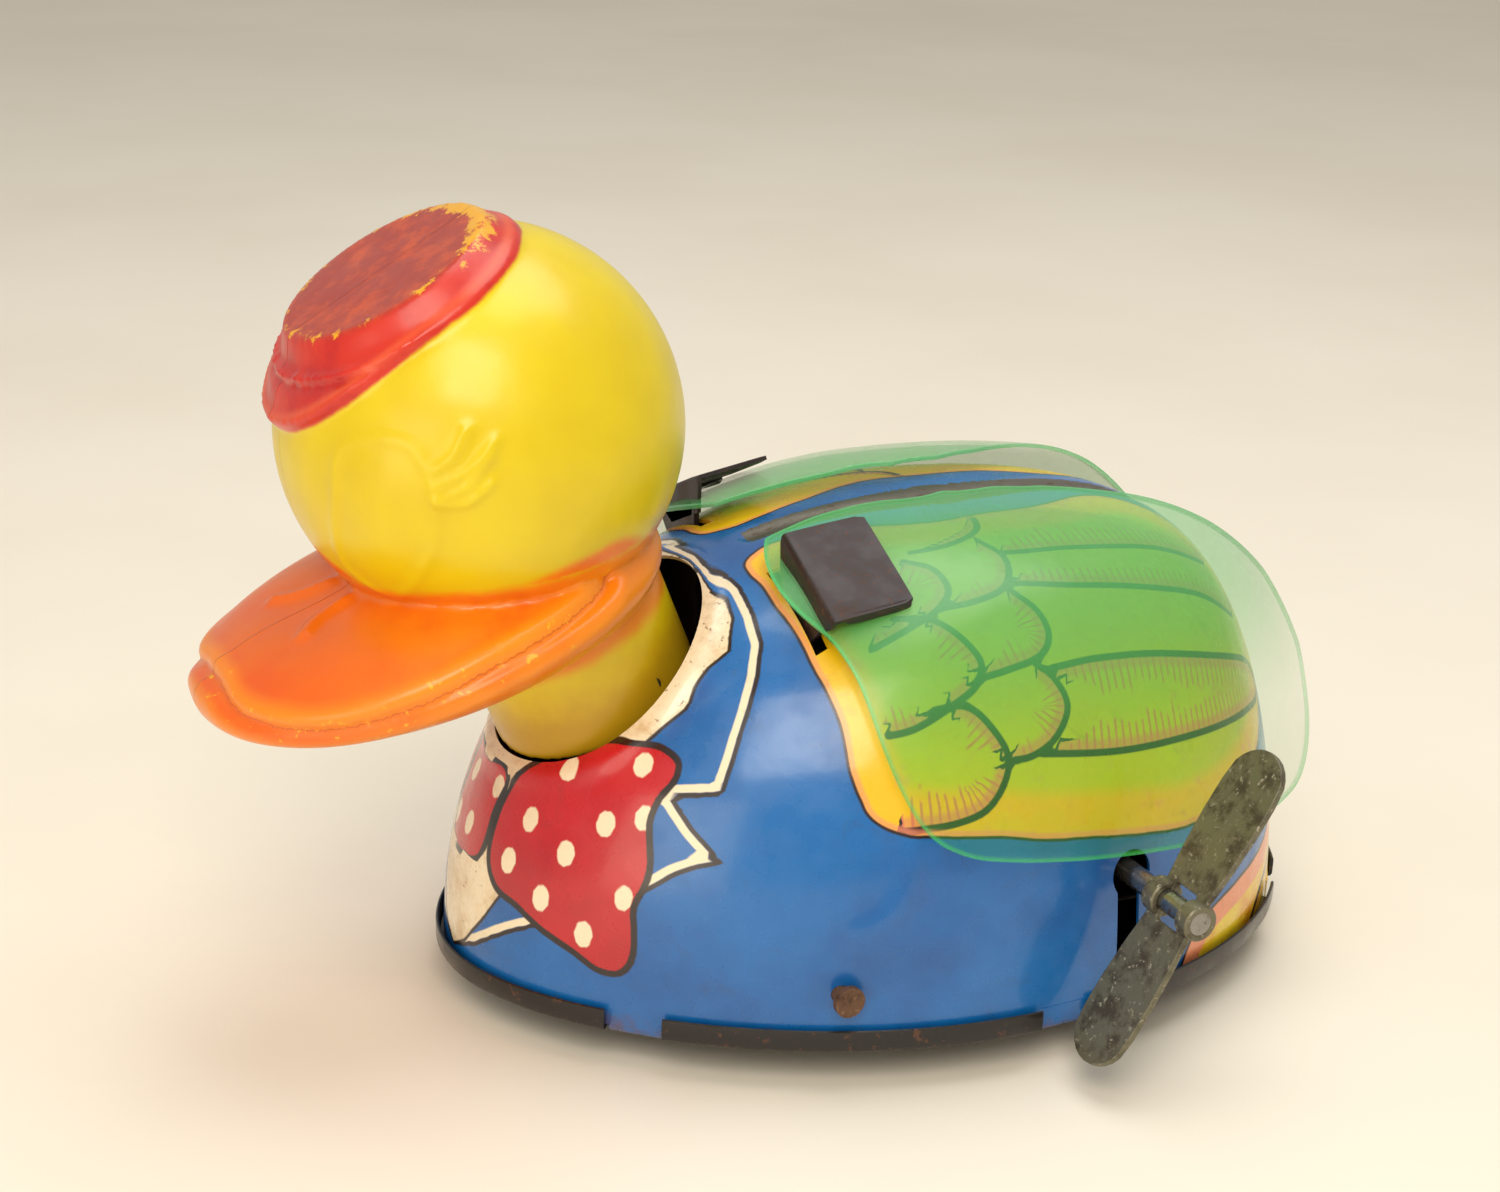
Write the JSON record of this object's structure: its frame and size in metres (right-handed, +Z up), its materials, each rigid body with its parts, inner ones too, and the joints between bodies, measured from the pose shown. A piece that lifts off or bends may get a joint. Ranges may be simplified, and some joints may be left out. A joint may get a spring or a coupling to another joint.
{
  "type": "wind-up duck",
  "caption": "Wind-up tin duck with a domed body on a rimmed base, a moulded nodding head, flapping translucent wings, a butterfly key and hidden wheels.",
  "frame": {"origin": "underside of the flat base pan, on the plane of symmetry, below the middle of the body", "axes": "+X forward past the bill, +Y to the duck's left where the key is, +Z up"},
  "size_m": [0.1535, 0.1039, 0.1046],
  "materials": {
    "printed_tin": "glossy lithographed tin, mostly blue, worn",
    "black_tin": "black lacquered tin, worn at the rim",
    "green_sheet": "thin translucent green sheet",
    "dark_tin": "dark brown tin, dull",
    "plated_tin": "bare tinplate",
    "steel": "dull steel wire and pins",
    "spring_steel": "blued spring steel",
    "brass": "stamped brass wheels",
    "key_tin": "tarnished tin with rust",
    "wheel_tin": "dark tin wheels",
    "yellow_moulding": "yellow moulded plastic with painted red cap and orange bill"
  },
  "bodies": {
    "frame": {"body_shell": "printed_tin", "base_plate": "black_tin", "wing_bracket": "plated_tin", "wing_pivot_pins": "steel", "neck_bracket": "plated_tin", "motor_plate_left": "plated_tin", "motor_plate_right": "plated_tin", "motor_pillars": "steel", "frame_rivets": "steel", "mainspring": "spring_steel", "front_axle": "steel", "axle_sleeve": "plated_tin"},
    "winder": {"winding_shaft": "steel", "winding_key": "key_tin", "ratchet_wheel": "brass"},
    "first_wheel": {"main_gear": "brass", "click_rivet": "steel"},
    "click_pawl": {"click": "steel"},
    "second_wheel": {"second_arbor": "steel", "second_gear": "brass", "second_pinion": "brass"},
    "drive_wheels": {"drive_axle": "steel", "drive_pinion": "brass", "drive_wheel_left": "wheel_tin", "drive_wheel_right": "wheel_tin"},
    "crank": {"crank_arbor": "steel", "crank_pinion": "brass", "crank_disc": "steel"},
    "lifter": {"wing_lifter": "plated_tin"},
    "left_wing": {"wing_left": "green_sheet", "wing_lever_left": "dark_tin"},
    "right_wing": {"wing_right": "green_sheet", "wing_lever_right": "dark_tin"},
    "duck_head": {"head": "yellow_moulding", "head_pin": "steel", "head_lever": "plated_tin"},
    "front_roller_left": {"front_wheel_left": "wheel_tin"},
    "front_roller_right": {"front_wheel_right": "wheel_tin"}
  },
  "joints": [
    {"name": "key_wind", "type": "hinge", "parent": "frame", "child": "winder", "pos_m": [-0.0134, 0, 0.0185], "axis": [0, 1, 0], "continuous": true},
    {"name": "first_wheel_spin", "type": "hinge", "parent": "frame", "child": "first_wheel", "pos_m": [-0.0134, 0, 0.0185], "axis": [0, 1, 0], "continuous": true},
    {"name": "second_wheel_spin", "type": "hinge", "parent": "frame", "child": "second_wheel", "pos_m": [-0.03036, 0, 0.0196], "axis": [0, 1, 0], "continuous": true},
    {"name": "drive_axle_spin", "type": "hinge", "parent": "frame", "child": "drive_wheels", "pos_m": [-0.03, 0, 0.0056], "axis": [0, 1, 0], "continuous": true},
    {"name": "crank_spin", "type": "hinge", "parent": "frame", "child": "crank", "pos_m": [0.00433, 0, 0.02163], "axis": [0, 1, 0], "continuous": true},
    {"name": "click_lift", "type": "hinge", "parent": "first_wheel", "child": "click_pawl", "pos_m": [-0.01025, 0.0047, 0.02714], "axis": [0, -1, 0], "range_deg": [0, 12], "stiffness_Nm_per_rad": 0.00002},
    {"name": "wing_left_flap", "type": "hinge", "parent": "frame", "child": "left_wing", "pos_m": [0.0226, 0.009, 0.034], "axis": [1, 0, 0], "range_deg": [0, 9]},
    {"name": "wing_right_flap", "type": "hinge", "parent": "frame", "child": "right_wing", "pos_m": [0.0226, -0.009, 0.034], "axis": [-1, 0, 0], "range_deg": [0, 9]},
    {"name": "lifter_slide", "type": "slide", "parent": "frame", "child": "lifter", "axis": [0, 0, 1], "range_m": [0, 0.00189]},
    {"name": "head_nod", "type": "hinge", "parent": "frame", "child": "duck_head", "pos_m": [0.04, 0, 0.041], "axis": [0, 1, 0], "range_deg": [0, 6.22]},
    {"name": "front_wheel_left_spin", "type": "hinge", "parent": "frame", "child": "front_roller_left", "pos_m": [0.0262, 0.0185, 0.0083], "axis": [0, 1, 0], "continuous": true},
    {"name": "front_wheel_right_spin", "type": "hinge", "parent": "frame", "child": "front_roller_right", "pos_m": [0.0262, -0.0185, 0.0083], "axis": [0, 1, 0], "continuous": true}
  ],
  "couplings": [
    {"joint": "second_wheel_spin", "follows": "first_wheel_spin", "ratio": -3.25},
    {"joint": "drive_axle_spin", "follows": "first_wheel_spin", "ratio": 8.125},
    {"joint": "crank_spin", "follows": "first_wheel_spin", "ratio": -2.6},
    {"joint": "wing_right_flap", "follows": "wing_left_flap", "ratio": 1},
    {"joint": "lifter_slide", "follows": "wing_left_flap", "m_per_rad": 0.011909},
    {"joint": "head_nod", "follows": "wing_left_flap", "ratio": 0.68839}
  ]
}
